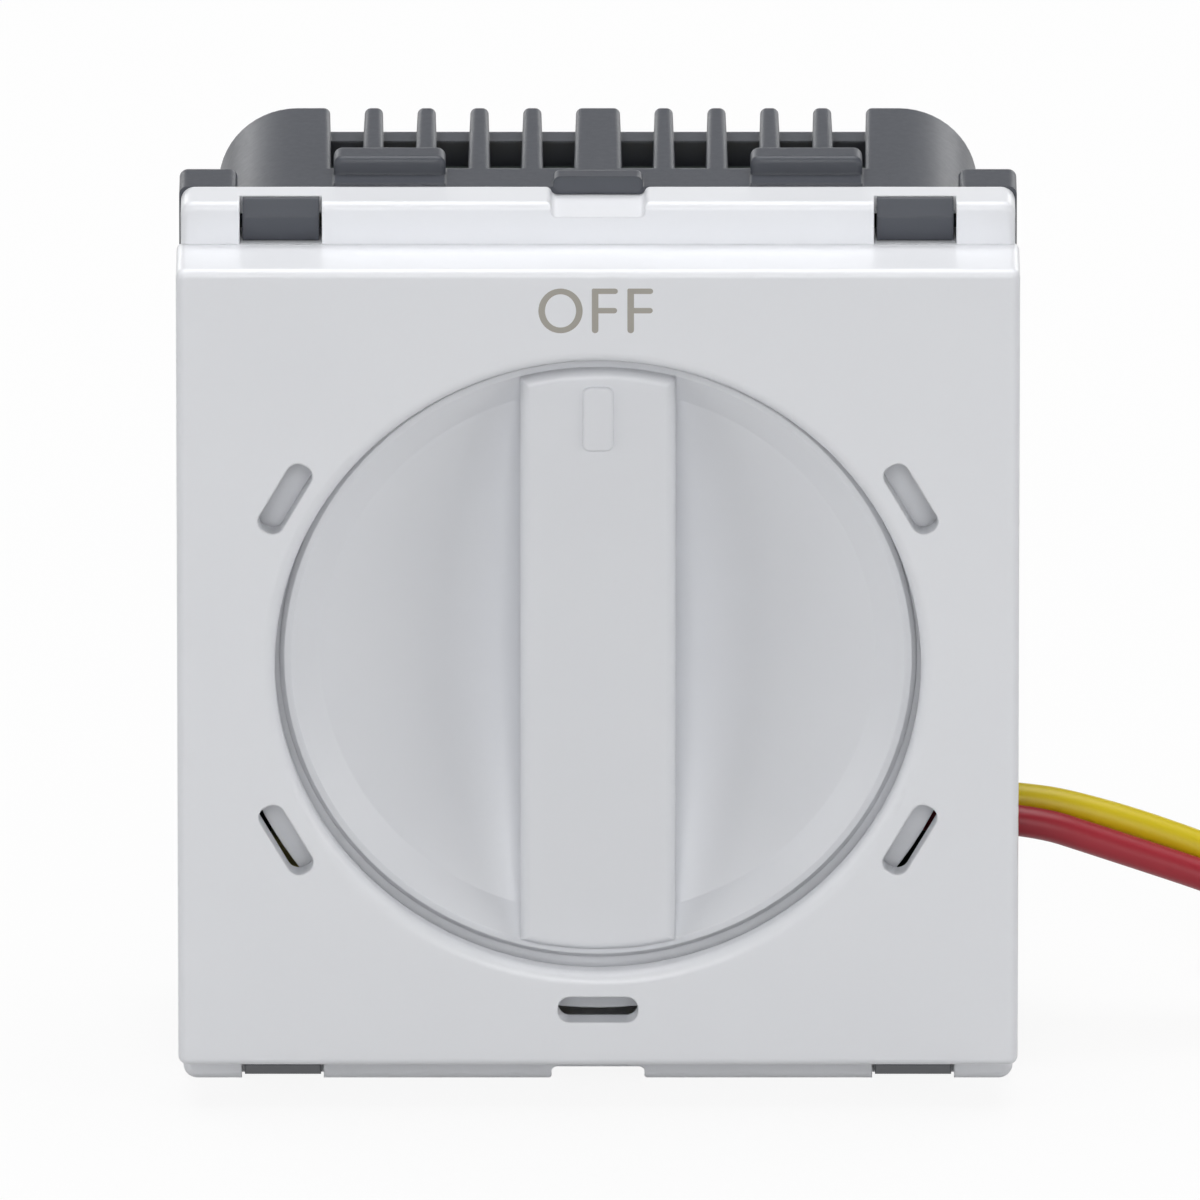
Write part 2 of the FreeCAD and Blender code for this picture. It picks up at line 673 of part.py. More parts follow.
def make_rear_housing():
    body = new_body("rear_housing")
    shell = front_sketch(body, "shell_outline", "cover_depth")
    rounded_rectangle(
        shell, "-housing_width / 2", "-flange_height / 2", "housing_width / 2", "flange_height / 2", "housing_corner"
    )
    pad_back(body, "shell", shell, "housing_depth")
    back = value("overall_depth")
    round_edges(body, "shell_edge", "housing_round", lambda edge: at_depth(edge, back))

    lugs = front_sketch(body, "lug_outline", "cover_depth")
    outer = "flange_width / 2 + lug_overhang"
    for side in SIDES.values():
        edges = sorted([f"{side} * ({outer})", f"{side} * (housing_width / 2 - lug_bite)"], key=value)
        rounded_rectangle(
            lugs, edges[0], "-flange_height / 2", edges[1], "flange_height / 2", "flange_corner * 0.6"
        )
    pad_back(body, "lugs", lugs, "lug_depth")

    cavity = front_sketch(body, "cavity_outline", "cover_depth")
    rounded_rectangle(
        cavity,
        "-housing_width / 2 + side_wall",
        "-flange_height / 2 + top_wall",
        "housing_width / 2 - side_wall",
        "flange_height / 2 - top_wall",
        "housing_corner - side_wall",
    )
    cut_back(body, "cavity", cavity, "housing_depth - rear_wall")

    floor = "flange_height / 2 - top_wall"
    slots = sketch(body, "vent_outline", "XY_Plane", floor)
    for side in SIDES.values():
        for index in range(5):
            middle = f"{side} * (slot_first + {index} * slot_pitch)"
            outline(
                slots,
                [
                    (f"{middle} - slot_root / 2", "cover_depth + slot_start"),
                    (f"{middle} + slot_root / 2", "cover_depth + slot_start"),
                    (f"{middle} + slot_tip / 2", "overall_depth"),
                    (f"{middle} - slot_tip / 2", "overall_depth"),
                ],
            )
    vents = extrude("Pocket", body, "vents", slots, "top_wall", True)
    mirrored(body, "bottom_vents", vents, "XY_Plane")
    reach = value("slot_first + 5 * slot_pitch")
    length = value("top_wall - housing_round")

    def fin_tip(edge):
        low, high = spread(edge)
        upright = near(high[2] - low[2], length)
        return at_depth(edge, back) and upright and abs(low[0]) < reach and near(low[0], high[0])

    round_edges(body, "fin_tips", "fin_round", fin_tip)

    roof = "flange_height / 2"
    for name, side in SIDES.items():
        middle = f"{side} * ledge_spacing / 2"
        shoulder = f"{roof} + ledge_height - 0.3 * ledge_corner"
        ledge = front_sketch(body, f"{name}_ledge_outline", "cover_depth + ledge_start")
        outline(
            ledge,
            [
                (f"{middle} - ledge_width / 2", f"{roof} - 0.2"),
                (f"{middle} + ledge_width / 2", f"{roof} - 0.2"),
                (f"{middle} + ledge_width / 2", f"{roof} + ledge_height - ledge_corner"),
                (f"{middle} + ledge_width / 2 - ledge_corner", f"{roof} + ledge_height"),
                (f"{middle} - ledge_width / 2 + ledge_corner", f"{roof} + ledge_height"),
                (f"{middle} - ledge_width / 2", f"{roof} + ledge_height - ledge_corner"),
            ],
            arcs={
                2: (f"{middle} + ledge_width / 2 - 0.3 * ledge_corner", shoulder, "ledge_corner"),
                4: (f"{middle} - ledge_width / 2 + 0.3 * ledge_corner", shoulder, "ledge_corner"),
            },
        )
        pad_back(body, f"{name}_ledge", ledge, "ledge_depth")
        front = value("cover_depth + ledge_start")
        top = value("flange_height / 2 + 0.1")
        round_edges(
            body,
            f"{name}_ledge_edge",
            "ledge_round",
            lambda edge: at_depth(edge, front) and edge.BoundBox.ZMax > top and edge.BoundBox.XMin * side > 0,
        )
        foot = front_sketch(body, f"{name}_foot_outline", "cover_depth + 0.1")
        rectangle(
            foot,
            f"{middle} - ledge_width / 2",
            f"{roof} - 0.2",
            f"{middle} + ledge_width / 2",
            f"{roof} + foot_height",
        )
        pad_back(body, f"{name}_foot", foot, "ledge_start")

    tab = front_sketch(body, "tab_outline", "cover_depth - tab_reach")
    rounded_rectangle(
        tab,
        "-tab_width / 2",
        "flange_height / 2 - notch_depth + notch_climb + hook_gap / 2",
        "tab_width / 2",
        "flange_height / 2 + tab_rise",
        "tab_corner",
    )
    pad_back(body, "tab", tab, "tab_reach + tab_back")

    nose = "bezel_depth + 0.15"
    for name, side in SIDES.items():
        width = "latch_slot_width - 2 * hook_side_gap"
        hooks = side_sketch(body, f"{name}_hook_outline", f"{side} * latch_spacing / 2 - ({width}) / 2")
        for end in ENDS.values():
            tip = f"{end} * flange_height / 2"
            shoulder = f"{end} * (flange_height / 2 - hook_slope)"
            under = f"{end} * (slot_floor - hook_gap / 2)"
            inner = f"{end} * (face_size / 2 + hook_seat)"
            outline(
                hooks,
                [
                    (f"{nose} + 0.35", inner),
                    (nose, shoulder),
                    (f"{nose} + hook_slope", tip),
                    ("bezel_depth + latch_slot_depth - hook_gap", tip),
                    ("bezel_depth + latch_slot_depth - hook_gap", under),
                    ("cover_depth + hook_root", under),
                    ("cover_depth + hook_root", inner),
                ],
            )
        pad_right(body, f"{name}_hooks", hooks, width)

    bosses = front_sketch(body, "boss_outline", "overall_depth - rear_wall - boss_height")
    pilots = front_sketch(body, "pilot_outline", "overall_depth - rear_wall - boss_height")
    for side, end in ((1, -1), (-1, 1)):
        circle(bosses, f"{side} * screw_x", f"{end} * screw_z", "boss_radius")
        circle(pilots, f"{side} * screw_x", f"{end} * screw_z", "screw_radius + shaft_fit")
    pad_back(body, "bosses", bosses, "boss_height + rear_wall / 2")
    cut_back(body, "pilots", pilots, "boss_height + screw_bite + 0.1")

    gate = side_sketch(body, "lead_gate_outline", "housing_width / 2 - side_wall - 0.5")
    low, high, floor, roof = grommet_sides("grommet_margin + grommet_fit")
    rounded_rectangle(gate, low, floor, high, roof, "grommet_corner + grommet_fit")
    cut_right(body, "lead_gate", gate, "side_wall + 1")
    return seat(body, "rear_housing")


def grommet_sides(margin):
    """Front, back, bottom and top of an oblong round the two leads."""
    return (
        f"red_depth - lead_radius - ({margin})",
        f"yellow_depth + lead_radius + ({margin})",
        f"-red_height - lead_radius - ({margin})",
        f"-yellow_height + lead_radius + ({margin})",
    )


# The knob: one white moulding with a skirt, a dished dial and a cored grip bar


def make_knob():
    body = new_body("knob")
    bar = side_sketch(body, "bar_profile", "-bar_width / 2")
    bar_back = "(bowl_sphere + bowl_wall / 2)"
    reach = "(bar_end_radius + 0.2 * rim_round)"
    end_depth = f"bowl_centre + sqrt({bar_back}^2 - {reach}^2)"
    outline(
        bar,
        [
            ("bar_depth", f"-{reach}"),
            (end_depth, f"-{reach}"),
            (end_depth, reach),
            ("bar_depth", reach),
        ],
        arcs={1: (f"bowl_centre + {bar_back}", "0", bar_back)},
    )
    pad_right(body, "bar", bar, "bar_width")
    ends = front_sketch(body, "bar_end_outline", "bar_depth")
    circle(ends, "0", "0", "bar_end_radius")
    circle(ends, "0", "0", "rim_radius + 1")
    cut_back(body, "bar_ends", ends, "rim_depth - bar_depth")
    face = value("bar_depth")
    round_edges(body, "bar_edge", "bar_round", lambda edge: at_depth(edge, face))
    beyond = front_sketch(body, "rim_groove_outline", "bar_depth")
    circle(beyond, "0", "0", "rim_radius - rim_round")
    circle(beyond, "0", "0", "rim_radius + 1")
    cut_back(body, "rim_groove", beyond, "skirt_front - bar_depth + 0.1")

    dial = side_sketch(body, "dial_profile")
    back_radius = "sqrt(bowl_back^2 - (skirt_back - bowl_centre)^2)"
    outline(
        dial,
        [
            ("rim_depth", "rim_radius - rim_round"),
            ("rim_depth", "rim_radius - rim_land"),
            ("bowl_edge_depth", "bowl_radius"),
            ("bowl_centre + sqrt(bowl_sphere^2 - shaft_radius^2)", "shaft_radius"),
            ("bowl_centre + sqrt(bowl_back^2 - shaft_radius^2)", "shaft_radius"),
            ("skirt_back", back_radius),
            ("skirt_back", "skirt_radius"),
            ("skirt_front", "skirt_radius"),
            ("skirt_front", "rim_radius"),
            ("rim_depth + rim_round", "rim_radius"),
        ],
        arcs={
            2: ("bowl_centre + sqrt(bowl_sphere^2 - bowl_radius^2 / 4)", "bowl_radius / 2"),
            4: (f"bowl_centre + sqrt(bowl_back^2 - ({back_radius})^2 / 4)", f"{back_radius} / 2"),
        },
    )
    turned(body, "dial", dial)

    pointer = front_sketch(body, "pointer_outline", "bar_depth - pointer_rise")
    rounded_rectangle(
        pointer,
        "-pointer_width / 2",
        "pointer_centre - pointer_length / 2",
        "pointer_width / 2",
        "pointer_centre + pointer_length / 2",
        "pointer_corner",
    )
    pad_back(body, "pointer", pointer, "pointer_rise + 0.1")
    top = value("bar_depth - pointer_rise")
    round_edges(body, "pointer_edge", "pointer_round", lambda edge: at_depth(edge, top))

    boss = front_sketch(body, "socket_outline", "bowl_depth")
    circle(boss, "0", "0", "shaft_radius + socket_wall")
    pad_back(body, "socket", boss, "base_front - knob_gap - bowl_depth")
    bore = front_sketch(body, "socket_bore_outline", "base_front - knob_gap")
    flatted_circle(bore, "shaft_radius + shaft_fit", "shaft_flat + shaft_fit")
    cut_forward(body, "socket_bore", bore, "base_front - knob_gap - shaft_start + 0.1")

    hollow = front_sketch(body, "bar_hollow_outline", "base_front - knob_gap")
    inside = "bar_width / 2 - bar_wall"
    for end in ENDS.values():
        ends = sorted([f"{end} * (shaft_radius + socket_wall + 0.8)", f"{end} * (bowl_radius - 2.6)"], key=value)
        rectangle(hollow, f"-({inside})", ends[0], inside, ends[1])
    cut_forward(body, "bar_hollow", hollow, "base_front - knob_gap - bar_depth - bar_wall")
    return seat(body, "knob")


# The rotary switch behind the knob


def make_rotor():
    body = new_body("rotor")
    shaft = front_sketch(body, "shaft_outline", "shaft_start")
    flatted_circle(shaft, "shaft_radius", "shaft_flat")
    pad_back(body, "shaft", shaft, "base_front - shaft_start")
    neck = front_sketch(body, "neck_outline", "base_front - knob_gap / 2")
    circle(neck, "0", "0", "neck_radius")
    pad_back(body, "neck", neck, "base_plate + rotor_gap + knob_gap / 2")
    disc = front_sketch(body, "disc_outline", "rotor_front")
    circle(disc, "0", "0", "rotor_radius")
    pad_back(body, "disc", disc, "rotor_wall")
    hub = front_sketch(body, "hub_outline", "rotor_back")
    circle(hub, "0", "0", "hub_radius")
    pad_back(body, "hub", hub, "hub_back - rotor_back")
    notch = front_sketch(body, "notch_outline", "rotor_front")
    circle(notch, "0", "notch_circle", "notch_radius")
    first = cut_back(body, "notch", notch, "rotor_wall")
    turn_copies(body, "notches", first, notch, "360", 6)
    return seat(body, "rotor")


def make_switch_base():
    body = new_body("switch_base")
    block_outline = front_sketch(body, "block_outline", "base_front")
    half = "base_size / 2"
    rounded_rectangle(block_outline, f"-{half}", f"-{half}", half, half, "base_corner")
    pad_back(body, "block", block_outline, "board_front - base_front")
    bore = front_sketch(body, "bore_outline", "base_front + base_plate")
    circle(bore, "0", "0", "base_bore")
    cut_back(body, "bore", bore, "board_front - base_front - base_plate")
    bearing = front_sketch(body, "bearing_outline", "base_front")
    circle(bearing, "0", "0", "neck_radius + neck_fit")
    cut_back(body, "bearing", bearing, "base_plate")
    pocket = front_sketch(body, "spring_pocket_outline", "base_front + base_plate")
    rectangle(
        pocket,
        "-spring_length / 2 - spring_slot",
        "spring_height - spring_slot",
        "spring_length / 2 + spring_slot",
        "spring_height + spring_thickness + spring_slot",
    )
    cut_back(body, "spring_pocket", pocket, "spring_width + 2 * spring_slot")
    pegs = front_sketch(body, "peg_outline", "board_front")
    for side in SIDES.values():
        for end in ENDS.values():
            circle(pegs, f"{side} * peg_offset", f"{end} * peg_offset", "peg_radius")
    pad_back(body, "pegs", pegs, "board_wall")
    return seat(body, "switch_base")


def make_detent_spring():
    body = new_body("detent_spring")
    strip = front_sketch(body, "strip_outline", "base_front + base_plate + spring_slot")
    low = "spring_height"
    high = "spring_height + spring_thickness"
    outline(
        strip,
        [
            ("-spring_length / 2", low),
            ("-spring_dip_width / 2", low),
            ("-spring_thickness / 2", "spring_height - spring_dip"),
            ("spring_thickness / 2", "spring_height - spring_dip"),
            ("spring_dip_width / 2", low),
            ("spring_length / 2", low),
            ("spring_length / 2", high),
            ("spring_dip_width / 2 - spring_thickness / 2", high),
            ("0", "spring_height - spring_dip + 1.6 * spring_thickness"),
            ("-spring_dip_width / 2 + spring_thickness / 2", high),
            ("-spring_length / 2", high),
        ],
    )
    pad_back(body, "strip", strip, "spring_width")
    return seat(body, "detent_spring")


def make_wiper():
    body = new_body("wiper_contact")
    collar = front_sketch(body, "collar_outline", "rotor_back")
    circle(collar, "0", "0", "wiper_ring")
    pad_back(body, "collar", collar, "wiper_thickness")
    arms = side_sketch(body, "arm_profile", "-wiper_width / 2")
    tip = "stud_front - wiper_gap"
    back = "rotor_back + wiper_thickness"
    outline(
        arms,
        [
            ("rotor_back", "wiper_ring - 1"),
            ("rotor_back", "stud_circle + 0.9"),
            (tip, "stud_circle + wiper_thickness / 2"),
            (tip, "stud_circle - wiper_thickness / 2"),
            (back, "stud_circle + 0.4"),
            (back, "wiper_ring - 1"),
        ],
    )
    ring_middle = "(ring_inner + ring_outer) / 2"
    outline(
        arms,
        [
            ("rotor_back", f"-{ring_middle} + 1"),
            ("rotor_back", f"-{ring_middle} - 0.9"),
            (tip, f"-{ring_middle} - wiper_thickness / 2"),
            (tip, f"-{ring_middle} + wiper_thickness / 2"),
            (back, f"-{ring_middle} - 0.4"),
            (back, f"-{ring_middle} + 1"),
        ],
    )
    pad_right(body, "arms", arms, "wiper_width")
    hole = front_sketch(body, "hub_hole_outline", "rotor_back")
    circle(hole, "0", "0", "hub_radius + shaft_fit")
    cut_back(body, "hub_hole", hole, "stud_front - rotor_back")
    return seat(body, "wiper_contact")


def make_contacts():
    studs = []
    for step in range(1, 6):
        x = f"stud_circle * sin({step} * window_step)"
        z = f"stud_circle * cos({step} * window_step)"
        studs.append(rod(f"stud_{step}", "stud_radius", "stud_height", x, "board_front", z, -BACK))
    outer = rod("ring_blank", "ring_outer", "stud_height", "0", "board_front", "0", -BACK)
    inner = rod("ring_hole", "ring_inner", "2 * stud_height", "0", "board_front + stud_height / 2", "0", -BACK)
    return [
        seat(grouped("stud_set", studs), "fixed_contacts"),
        seat(cut("ring", outer, inner), "common_ring"),
    ]


# The circuit board and what is soldered to it


CAPACITORS = {
    "capacitor_lower": ("capacitor_low_x", "-capacitor_z"),
    "capacitor_upper": ("0", "capacitor_z"),
}
RESISTORS = {
    "series_resistor_right": ("series", "resistor_x", "series_right_z"),
    "series_resistor_left": ("series", "-resistor_x", "series_left_z"),
    "bleed_resistor_right": ("bleed", "resistor_x", "bleed_right_z"),
    "bleed_resistor_left": ("bleed", "-resistor_x", "bleed_left_z"),
}


def make_board():
    body = new_body("circuit_board")
    sheet_outline = front_sketch(body, "board_outline", "board_front")
    rounded_rectangle(
        sheet_outline, "-board_width / 2", "-board_height / 2", "board_width / 2", "board_height / 2", "base_corner"
    )
    pad_back(body, "laminate", sheet_outline, "board_wall")
    holes = front_sketch(body, "hole_outline", "board_front")
    for side, end in ((1, -1), (-1, 1)):
        circle(holes, f"{side} * screw_x", f"{end} * screw_z", "screw_radius + hole_fit")
    for side in SIDES.values():
        for end in ENDS.values():
            circle(holes, f"{side} * peg_offset", f"{end} * peg_offset", "peg_radius + hole_fit")
        for x, z in CAPACITORS.values():
            circle(holes, f"{x} + {side} * capacitor_pitch / 2", z, "leg_radius + hole_fit")
        for size, x, z in RESISTORS.values():
            circle(holes, x, f"{z} + {side} * {size}_pitch / 2", "leg_radius + hole_fit")
    cut_back(body, "holes", holes, "board_wall")
    return seat(body, "circuit_board")


def make_capacitor(label, x, z):
    body = new_body(label)
    case = front_sketch(body, f"{label}_outline", "board_front - capacitor_depth")
    rounded_rectangle(
        case,
        f"{x} - capacitor_width / 2",
        f"{z} - capacitor_height / 2",
        f"{x} + capacitor_width / 2",
        f"{z} + capacitor_height / 2",
        "capacitor_round",
    )
    pad_back(body, f"{label}_case", case, "capacitor_depth")
    front = value("board_front - capacitor_depth")
    round_edges(body, f"{label}_edge", "capacitor_round * 0.8", lambda edge: at_depth(edge, front))
    legs = front_sketch(body, f"{label}_leg_outline", "board_front")
    for side in SIDES.values():
        circle(legs, f"{x} + {side} * capacitor_pitch / 2", z, "leg_radius")
    pad_back(body, f"{label}_legs", legs, "board_wall + leg_tail")
    return seat(body, label)


def make_resistor(label, size, x, z):
    depth = f"board_front - part_lift - {size}_radius"
    pieces = [rod(f"{label}_barrel", f"{size}_radius", f"{size}_length", x, depth, f"{z} - {size}_length / 2", UP)]
    for name, end in ENDS.items():
        turn = f"{z} + {end} * {size}_pitch / 2"
        start = f"{z} + {end} * {size}_length / 2"
        cap = f"{start} - {end} * 0.9"
        reach = f"({size}_pitch - {size}_length) / 2"
        along = UP * end
        drop = f"board_front + board_wall + leg_tail - ({depth})"
        pieces.append(rod(f"{label}_{name}_cap", f"{size}_radius + 0.12", "0.9", x, depth, cap, along))
        pieces.append(rod(f"{label}_{name}_lead", "leg_radius", reach, x, depth, start, along))
        pieces.append(ball(f"{label}_{name}_bend", "leg_radius", x, depth, turn))
        pieces.append(rod(f"{label}_{name}_leg", "leg_radius", drop, x, depth, turn, BACK))
    return seat(fused(f"{label}_body", pieces), label)


def make_screws():
    screws = []
    for name, side, end in (("right", 1, -1), ("left", -1, 1)):
        x, z = f"{side} * screw_x", f"{end} * screw_z"
        head = rod(f"{name}_screw_head", "screw_head", "screw_head_height", x, "board_front", z, -BACK)
        length = "board_wall + boss_height + screw_bite"
        shank = rod(f"{name}_screw_shank", "screw_radius", length, x, "board_front", z, BACK)
        cross = []
        for turn, (long_x, long_z) in enumerate((("2.4", "0.5"), ("0.5", "2.4"))):
            corner = (
                f"{x} - {long_x} / 2",
                "board_front - screw_head_height",
                f"{z} - {long_z} / 2",
            )
            cross.append(block(f"{name}_screw_drive_{turn}", (long_x, "screw_head_height / 2", long_z), corner))
        whole = fused(f"{name}_screw_blank", [head, shank])
        screws.append(cut(f"{name}_screw", whole, fused(f"{name}_screw_drive", cross)))
    return seat(grouped("screw_set", screws), "board_screws")


def make_terminal(colour):
    """A brass post on the board, with a foot, that meets the inner end of one lead."""
    depth = f"{colour}_depth"
    post = block(
        f"{colour}_post",
        ("terminal_wall", f"board_front - {depth} + terminal_width / 2", "terminal_width"),
        (
            f"{colour}_start - terminal_wall",
            f"{depth} - terminal_width / 2",
            f"-{colour}_height - terminal_width / 2",
        ),
    )
    foot = block(
        f"{colour}_foot",
        ("1.5 * terminal_wall", "terminal_wall / 2", "1.5 * terminal_width"),
        (
            f"{colour}_start - 1.3 * terminal_wall",
            "board_front - terminal_wall / 2",
            f"-{colour}_height - 0.75 * terminal_width",
        ),
    )
    return seat(fused(f"{colour}_post_and_foot", [post, foot]), f"{colour}_terminal")


# The two flying leads, the bush they leave by and their tinned tips


def make_grommet():
    body = new_body("lead_grommet")
    inner = "housing_width / 2 - side_wall"
    plug = side_sketch(body, "plug_outline", inner)
    low, high, floor, roof = grommet_sides("grommet_margin")
    rounded_rectangle(plug, low, floor, high, roof, "grommet_corner")
    pad_right(body, "plug", plug, "side_wall + grommet_lip_wall / 2")
    lip = side_sketch(body, "lip_outline", "housing_width / 2")
    low, high, floor, roof = grommet_sides("grommet_margin + grommet_lip")
    rounded_rectangle(lip, low, floor, high, roof, "grommet_corner + grommet_lip")
    pad_right(body, "lip", lip, "grommet_lip_wall")
    bores = side_sketch(body, "bore_outline", inner)
    circle(bores, "yellow_depth", "-yellow_height", "lead_radius + lead_fit")
    circle(bores, "red_depth", "-red_height", "lead_radius + lead_fit")
    cut_right(body, "bores", bores, "side_wall + grommet_lip_wall")
    return seat(body, "lead_grommet")


# Points that each lead follows once it is out of the grommet, chosen by hand: X from the housing's right side, Y from
# the circuit board's front and Z above the base. It droops and then lies on the surface that the switch stands on.
YELLOW_ROUTE = [
    (2.4, -1.9, 12.5),
    (7.2, -1.8, 11.3),
    (12.4, -1.6, 9.35),
    (17.3, -1.45, 7.25),
    (21.3, -1.6, 5.2),
    (28.75, -1.75, 2.0),
    (34.5, 3.85, 0.85),
    (34.5, 11.95, 0.85),
    (28.95, 17.5, 0.85),
    (21.05, 17.5, 0.85),
    (15.5, 11.95, 0.85),
    (15.5, 4.1, 0.85),
]
RED_ROUTE = [
    (2.2, -3.85, 12.05),
    (7.4, -3.5, 10.15),
    (13.0, -3.2, 8.1),
    (17.6, -3.3, 6.25),
    (22.2, -3.5, 4.15),
    (29.7, -3.3, 1.5),
    (36.4, 3.3, 0.85),
    (36.4, 12.7, 0.85),
    (29.7, 19.4, 0.85),
    (20.3, 19.4, 0.85),
    (13.6, 12.7, 0.85),
    (13.25, 4.6, 0.85),
]


def tube_along(points, radius):
    """A round cord along straight runs joined by arcs that touch both runs."""
    spots = [Vector(*point) for point in points]
    runs = [(end - start).Length for start, end in zip(spots, spots[1:])]
    edges = []
    radii = []
    start = spots[0]
    for index in range(1, len(spots) - 1):
        before = (spots[index] - spots[index - 1]).normalize()
        after = (spots[index + 1] - spots[index]).normalize()
        turn = before.getAngle(after)
        tangent = 0.45 * min(runs[index - 1], runs[index])
        arc_radius = tangent / math.tan(turn / 2)
        radii.append(arc_radius)
        arc_start = spots[index] - before * tangent
        arc_end = spots[index] + after * tangent
        inward = (after - before).normalize()
        centre = spots[index] + inward * (arc_radius / math.cos(turn / 2))
        arc_middle = centre - inward * arc_radius
        edges.append(Part.LineSegment(start, arc_start).toShape())
        edges.append(Part.Arc(arc_start, arc_middle, arc_end).toShape())
        start = arc_end
    edges.append(Part.LineSegment(start, spots[-1]).toShape())
    path = Part.Wire(edges)
    direction = (spots[1] - spots[0]).normalize()
    section = Part.Wire(Part.Circle(spots[0], direction, radius).toShape())
    tube = path.makePipeShell([section], True, True)
    print(
        "cord: length", round(path.Length, 2),
        "smallest radius", round(min(radii), 2),
        "volume over section times length", round(tube.Volume / (math.pi * radius**2 * path.Length), 4),
    )
    return tube


def make_lead(colour, route):
    """One insulated lead from its terminal to its far end, and the tinned tip beyond it."""
    start = (value(f"{colour}_start"), value(f"{colour}_depth"), -value(f"{colour}_height"))
    shift = Vector(value("housing_width / 2"), value("board_front"), -value("flange_height / 2"))
    points = [start, *(Vector(*point) + shift for point in route)]
    lead = doc.addObject("Part::Feature", f"{colour}_cord")
    lead.Shape = tube_along(points, value("lead_radius"))
    end = points[-1]
    direction = (end - points[-2]).normalize()
    tip = rod(f"{colour}_tip", "tip_radius", "tip_length", "0", "0", "0", direction)
    for letter, place in zip("xyz", end):
        bind(tip, f"Placement.Base.{letter}", f"{place}")
    for letter, text in (("y", "-overall_depth / 2"), ("z", "flange_height / 2")):
        bind(tip, f"Placement.Base.{letter}", f"{getattr(end, letter)} + ({text})")
    tip.Label = f"{colour}_lead_tip"
    return [seat(lead, f"{colour}_lead"), tip]


pieces = [
    make_front_cover(),
    make_rear_housing(),
    make_knob(),
    make_rotor(),
    make_switch_base(),
    make_detent_spring(),
    make_wiper(),
    *make_contacts(),
    make_board(),
    *(make_capacitor(label, *place) for label, place in CAPACITORS.items()),
    *(make_resistor(label, *place) for label, place in RESISTORS.items()),
    make_screws(),
    make_terminal("yellow"),
    make_terminal("red"),
    make_grommet(),
    *make_lead("yellow", YELLOW_ROUTE),
    *make_lead("red", RED_ROUTE),
]
doc.recompute()

failed = [item.Name for item in doc.Objects if {"Invalid", "Error"} & set(item.State)]
for piece in pieces:
    if piece.Shape.isNull() or not piece.Shape.isValid():
        failed.append(piece.Label)
if failed:
    raise RuntimeError(f"these objects failed: {failed}")

os.makedirs("parts", exist_ok=True)
for piece in pieces:
    piece.Shape.exportStep(f"parts/{piece.Label}.step")
    print(piece.Label, len(piece.Shape.Solids), round(piece.Shape.Volume, 2))
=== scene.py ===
import math

import bmesh
import bpy
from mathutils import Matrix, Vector


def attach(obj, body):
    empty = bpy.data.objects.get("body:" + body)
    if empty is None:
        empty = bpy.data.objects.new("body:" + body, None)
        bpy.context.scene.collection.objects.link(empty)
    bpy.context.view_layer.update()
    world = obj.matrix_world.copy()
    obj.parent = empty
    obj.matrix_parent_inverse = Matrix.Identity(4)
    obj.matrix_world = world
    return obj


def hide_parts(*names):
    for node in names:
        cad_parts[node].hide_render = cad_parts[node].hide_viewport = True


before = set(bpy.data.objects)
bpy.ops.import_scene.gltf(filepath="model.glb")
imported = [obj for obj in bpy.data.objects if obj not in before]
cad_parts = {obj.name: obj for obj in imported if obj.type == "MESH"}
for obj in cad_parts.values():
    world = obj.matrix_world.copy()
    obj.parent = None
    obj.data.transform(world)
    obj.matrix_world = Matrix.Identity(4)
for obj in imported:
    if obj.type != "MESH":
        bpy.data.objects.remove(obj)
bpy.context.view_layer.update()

MM = 0.001
# The CAD is drawn about the dial's axis: X right, Y back from the front face, Z up.
# These two shifts take it to the row frame.
DEPTH_SHIFT = -10.45
HEIGHT_SHIFT = 24.85


def at(x, y, z):
    """A point given in millimetres about the dial's axis, in the row frame in metres."""
    return Vector((x, y + DEPTH_SHIFT, z + HEIGHT_SHIFT)) * MM


# Materials. Noise scales count cells per metre, and an edge is its rounding in millimetres.

DRIFT_SCALE = 90.0
GRAIN_HEIGHT = 0.02 * MM
EDGE_SAMPLES = 4
# A metal's darker tone and the spread of its roughness, as shares.
METAL_SHADE = 0.8
METAL_SPREAD = 0.3


def material(name):
    """A new material with its nodes, its links and its shader."""
    made = bpy.data.materials.new(name)
    made.use_nodes = True
    nodes = made.node_tree.nodes
    return made, nodes, made.node_tree.links, nodes["Principled BSDF"]


def node(nodes, kind, **values):
    """A new node, with each value set on the input of that name or else as a setting."""
    made = nodes.new(kind)
    for key, value in values.items():
        if key in made.inputs:
            made.inputs[key].default_value = value
        else:
            setattr(made, key, value)
    return made


def noise(nodes, links, scale, detail, roughness):
    """A noise that stays with the piece, as a number from 0 to 1."""
    place = node(nodes, "ShaderNodeTexCoord")
    made = node(nodes, "ShaderNodeTexNoise", Scale=scale, Detail=detail, Roughness=roughness)
    links.new(place.outputs["Object"], made.inputs["Vector"])
    return made.outputs["Fac"]


def drifting_colour(nodes, links, shader, pattern, colour, tint):
    """The base colour wanders between two colours."""
    mix = node(nodes, "ShaderNodeMix", data_type="RGBA")
    mix.inputs["A"].default_value = (*colour, 1)
    mix.inputs["B"].default_value = (*tint, 1)
    links.new(pattern, mix.inputs["Factor"])
    links.new(mix.outputs["Result"], shader.inputs["Base Color"])


def uneven_gloss(nodes, links, shader, pattern, low, high):
    """The roughness wanders between two values."""
    gloss = node(nodes, "ShaderNodeMapRange")
    gloss.inputs["To Min"].default_value = low
    gloss.inputs["To Max"].default_value = high
    links.new(pattern, gloss.inputs["Value"])
    links.new(gloss.outputs["Result"], shader.inputs["Roughness"])


